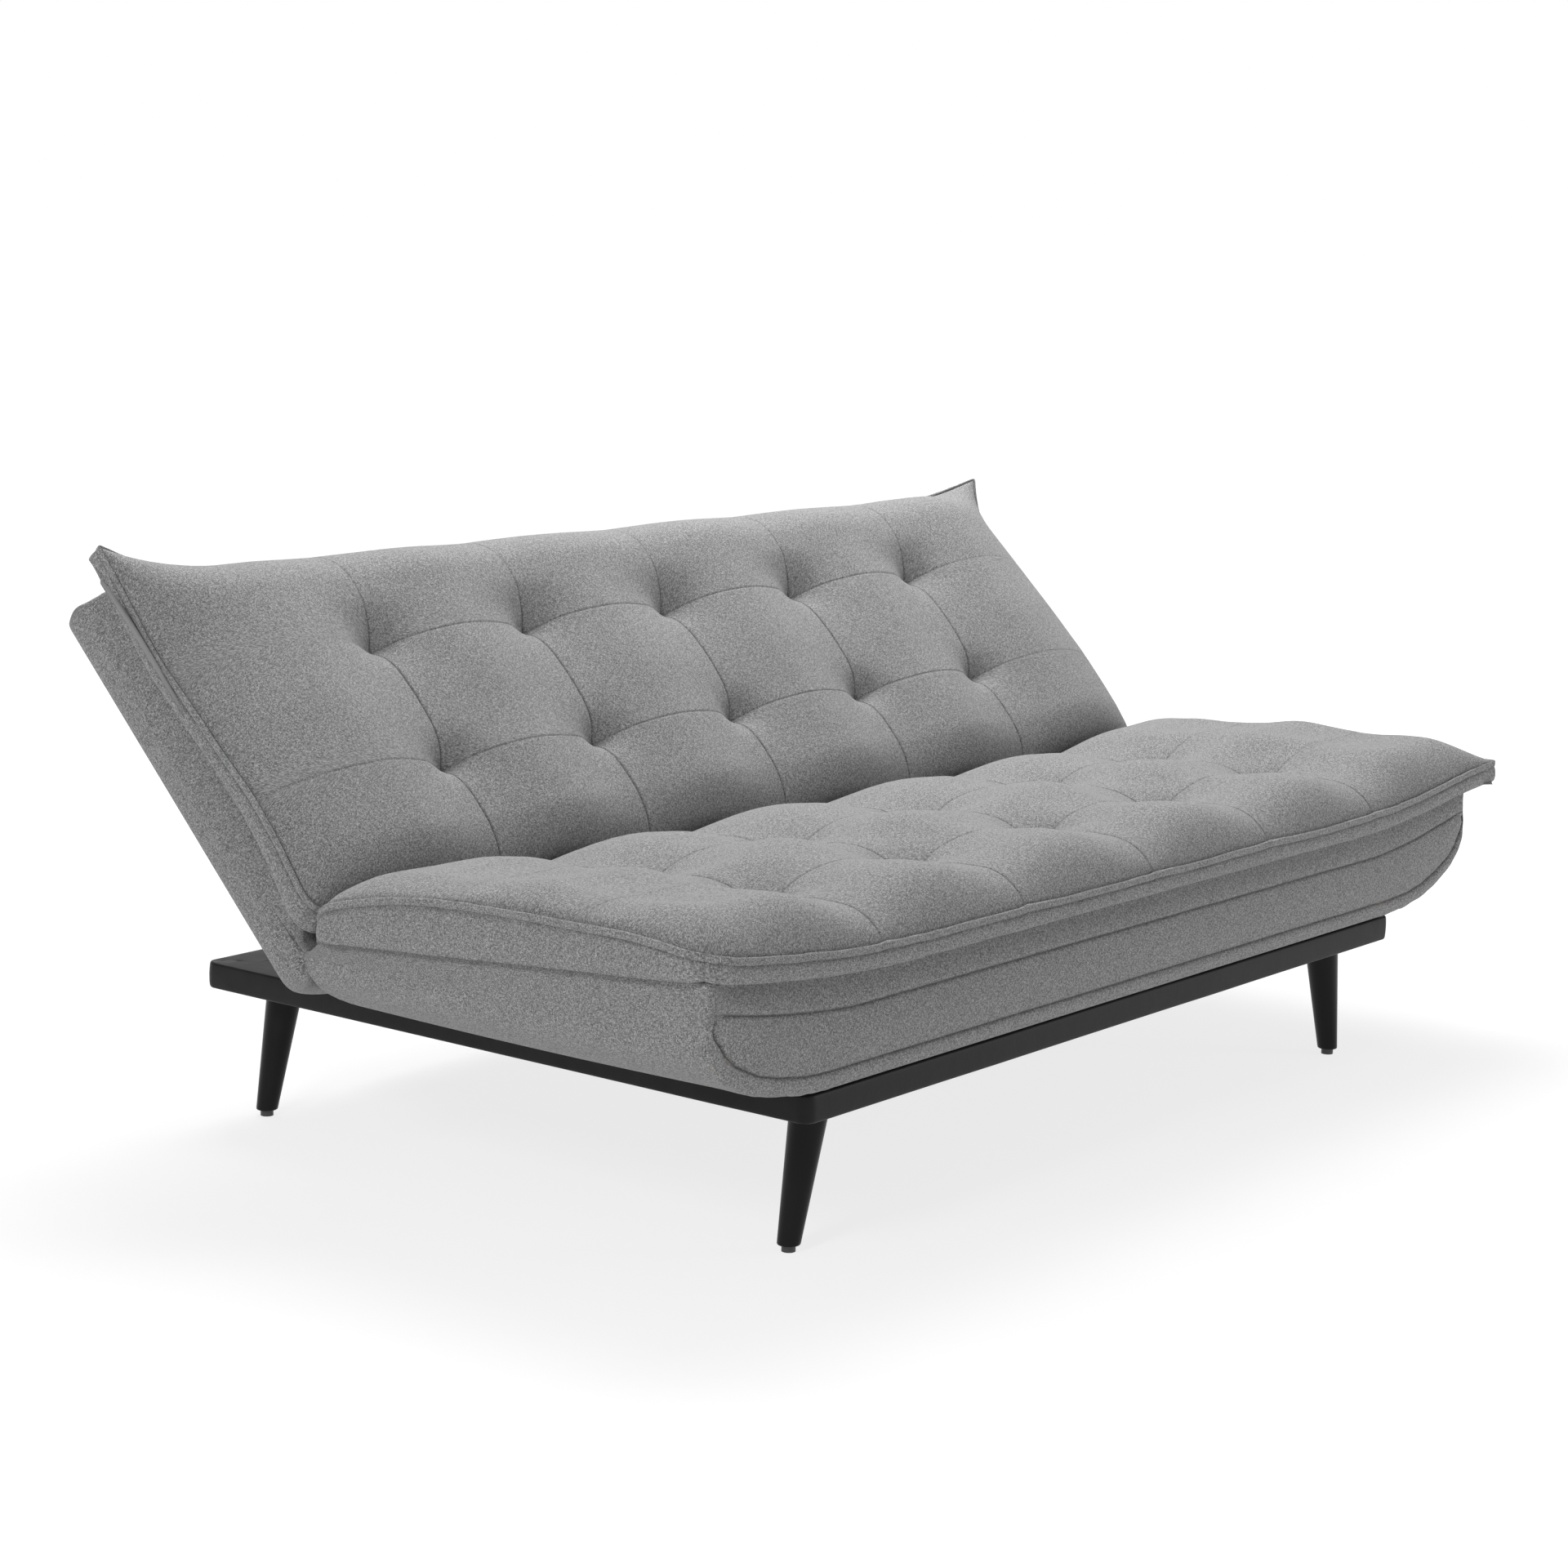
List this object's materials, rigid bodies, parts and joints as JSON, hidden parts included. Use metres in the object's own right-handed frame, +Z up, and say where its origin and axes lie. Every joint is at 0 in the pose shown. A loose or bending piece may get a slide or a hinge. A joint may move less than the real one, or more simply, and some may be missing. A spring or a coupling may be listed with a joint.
{
  "type": "futon sofa bed",
  "caption": "Armless click-clack futon sofa bed with tufted pads on a seat and a reclining back that folds flat, on a low base with splayed legs.",
  "frame": {"origin": "on the floor, under the centre of the sofa's bounding box with the back in its lounge position", "axes": "+X to the sitter's left along the sofa, -Y to the sofa's front, +Z up"},
  "size_m": [2, 1.1637, 0.8049],
  "materials": {
    "grey_fabric": "heathered mid-grey coarse woven upholstery",
    "black_leatherette": "black leatherette with a fine grain",
    "black_lacquer": "satin black lacquer on turned wood",
    "frame_wood": "plain pine and plywood",
    "foam": "upholstery foam",
    "webbing": "elastic webbing",
    "dust_cloth": "black non-woven dust cloth",
    "black_metal": "black powder coat",
    "zinc_steel": "zinc plated",
    "rubber": "black rubber",
    "glide_plastic": "black nylon"
  },
  "bodies": {
    "base": {"base_front_rail": "frame_wood", "base_rear_rail": "frame_wood", "base_left_rail": "frame_wood", "base_right_rail": "frame_wood", "base_cross_rails": "frame_wood", "base_corner_blocks": "frame_wood", "base_deck_board": "frame_wood", "base_cover": "black_leatherette", "base_dust_cover": "dust_cloth", "base_bumpers": "rubber", "leg_front_left": "black_lacquer", "leg_front_right": "black_lacquer", "leg_rear_left": "black_lacquer", "leg_rear_right": "black_lacquer", "glide_front_left": "glide_plastic", "glide_front_right": "glide_plastic", "glide_rear_left": "glide_plastic", "glide_rear_right": "glide_plastic", "leg_tee_nuts": "zinc_steel", "leg_hanger_bolts": "zinc_steel", "base_bracket_left": "black_metal", "base_bracket_right": "black_metal", "bracket_screws": "zinc_steel", "pivot_bolts": "zinc_steel", "pivot_nuts": "zinc_steel"},
    "seat": {"seat_front_rail": "frame_wood", "seat_rear_rail": "frame_wood", "seat_left_end_board": "frame_wood", "seat_right_end_board": "frame_wood", "seat_cross_rails": "frame_wood", "seat_webbing": "webbing", "seat_foam": "foam", "seat_dust_cover": "dust_cloth", "seat_cover": "grey_fabric", "seat_arm_left": "black_metal", "seat_arm_right": "black_metal", "seat_arm_screws": "zinc_steel", "seat_pad": "grey_fabric"},
    "back": {"back_top_rail": "frame_wood", "back_bottom_rail": "frame_wood", "back_left_end_board": "frame_wood", "back_right_end_board": "frame_wood", "back_cross_rails": "frame_wood", "back_webbing": "webbing", "back_foam": "foam", "back_dust_cover": "dust_cloth", "back_cover": "grey_fabric", "back_edge_roll": "foam", "back_arm_left": "black_metal", "back_arm_right": "black_metal", "back_arm_screws": "zinc_steel", "back_pad": "grey_fabric"}
  },
  "joints": [
    {"name": "seat_lift", "type": "hinge", "parent": "base", "child": "seat", "pos_m": [0, 0.13615, 0.302], "axis": [-1, 0, 0], "range_deg": [0, 6]},
    {"name": "back_recline", "type": "hinge", "parent": "base", "child": "back", "pos_m": [0, 0.13615, 0.302], "axis": [1, 0, 0], "range_deg": [-46, 22]}
  ]
}
